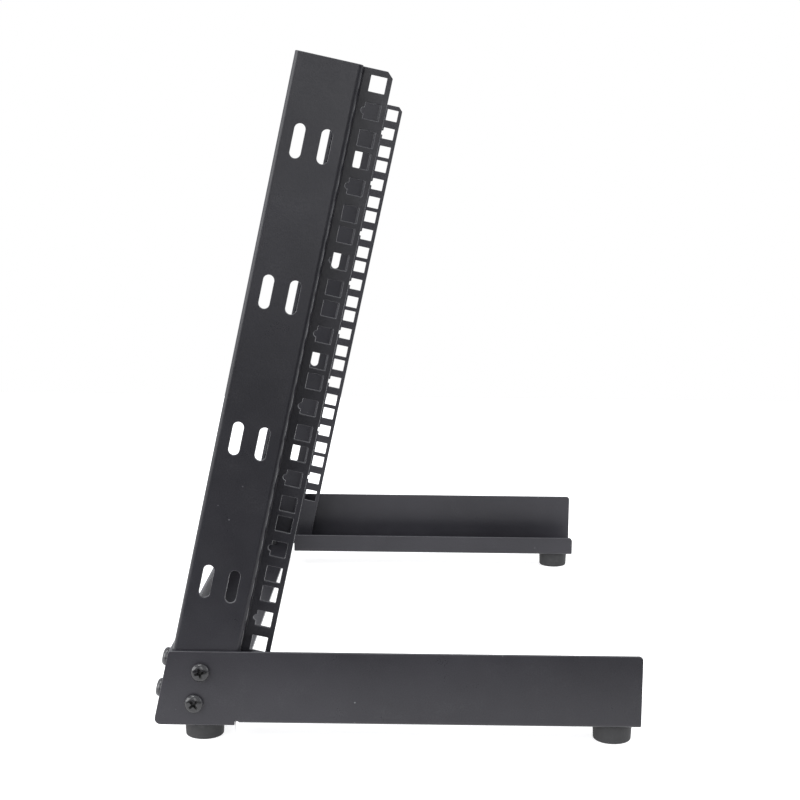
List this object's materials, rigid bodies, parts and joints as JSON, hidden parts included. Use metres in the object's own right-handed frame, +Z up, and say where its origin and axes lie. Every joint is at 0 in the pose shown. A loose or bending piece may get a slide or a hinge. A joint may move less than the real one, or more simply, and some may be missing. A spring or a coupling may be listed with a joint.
{
  "type": "desktop two-post equipment rack",
  "caption": "Open desktop rack with two leaning posts with square rack holes, two rearward legs, a front crossbar and rubber feet.",
  "frame": {"origin": "on the floor, in the middle of the overall footprint", "axes": "+X to the rack's right-hand side as seen from the front, -Y to the front, +Z up"},
  "size_m": [0.4944, 0.2967, 0.4136],
  "materials": {
    "post": "matte black powder coat with a fine texture",
    "leg": "matte black powder coat with a fine texture",
    "bar": "matte black powder coat with a fine texture",
    "foot_rubber": "matte black moulded rubber",
    "screw": "black coated steel, satin",
    "nut": "black coated steel, satin"
  },
  "bodies": {
    "root": {"left_post": "post", "right_post": "post", "left_leg": "leg", "right_leg": "leg", "front_bar": "bar", "front_left_foot": "foot_rubber", "front_right_foot": "foot_rubber", "rear_left_foot": "foot_rubber", "rear_right_foot": "foot_rubber", "front_left_foot_screw": "screw", "front_right_foot_screw": "screw", "rear_left_foot_screw": "screw", "rear_right_foot_screw": "screw", "front_left_foot_nut": "nut", "front_right_foot_nut": "nut", "rear_left_foot_nut": "nut", "rear_right_foot_nut": "nut", "left_side_screw_upper": "screw", "left_side_nut_upper": "nut", "left_front_screw_upper": "screw", "left_front_nut_upper": "nut", "left_side_screw_lower": "screw", "left_side_nut_lower": "nut", "left_front_screw_lower": "screw", "left_front_nut_lower": "nut", "right_side_screw_upper": "screw", "right_side_nut_upper": "nut", "right_front_screw_upper": "screw", "right_front_nut_upper": "nut", "right_side_screw_lower": "screw", "right_side_nut_lower": "nut", "right_front_screw_lower": "screw", "right_front_nut_lower": "nut"}
  },
  "joints": []
}
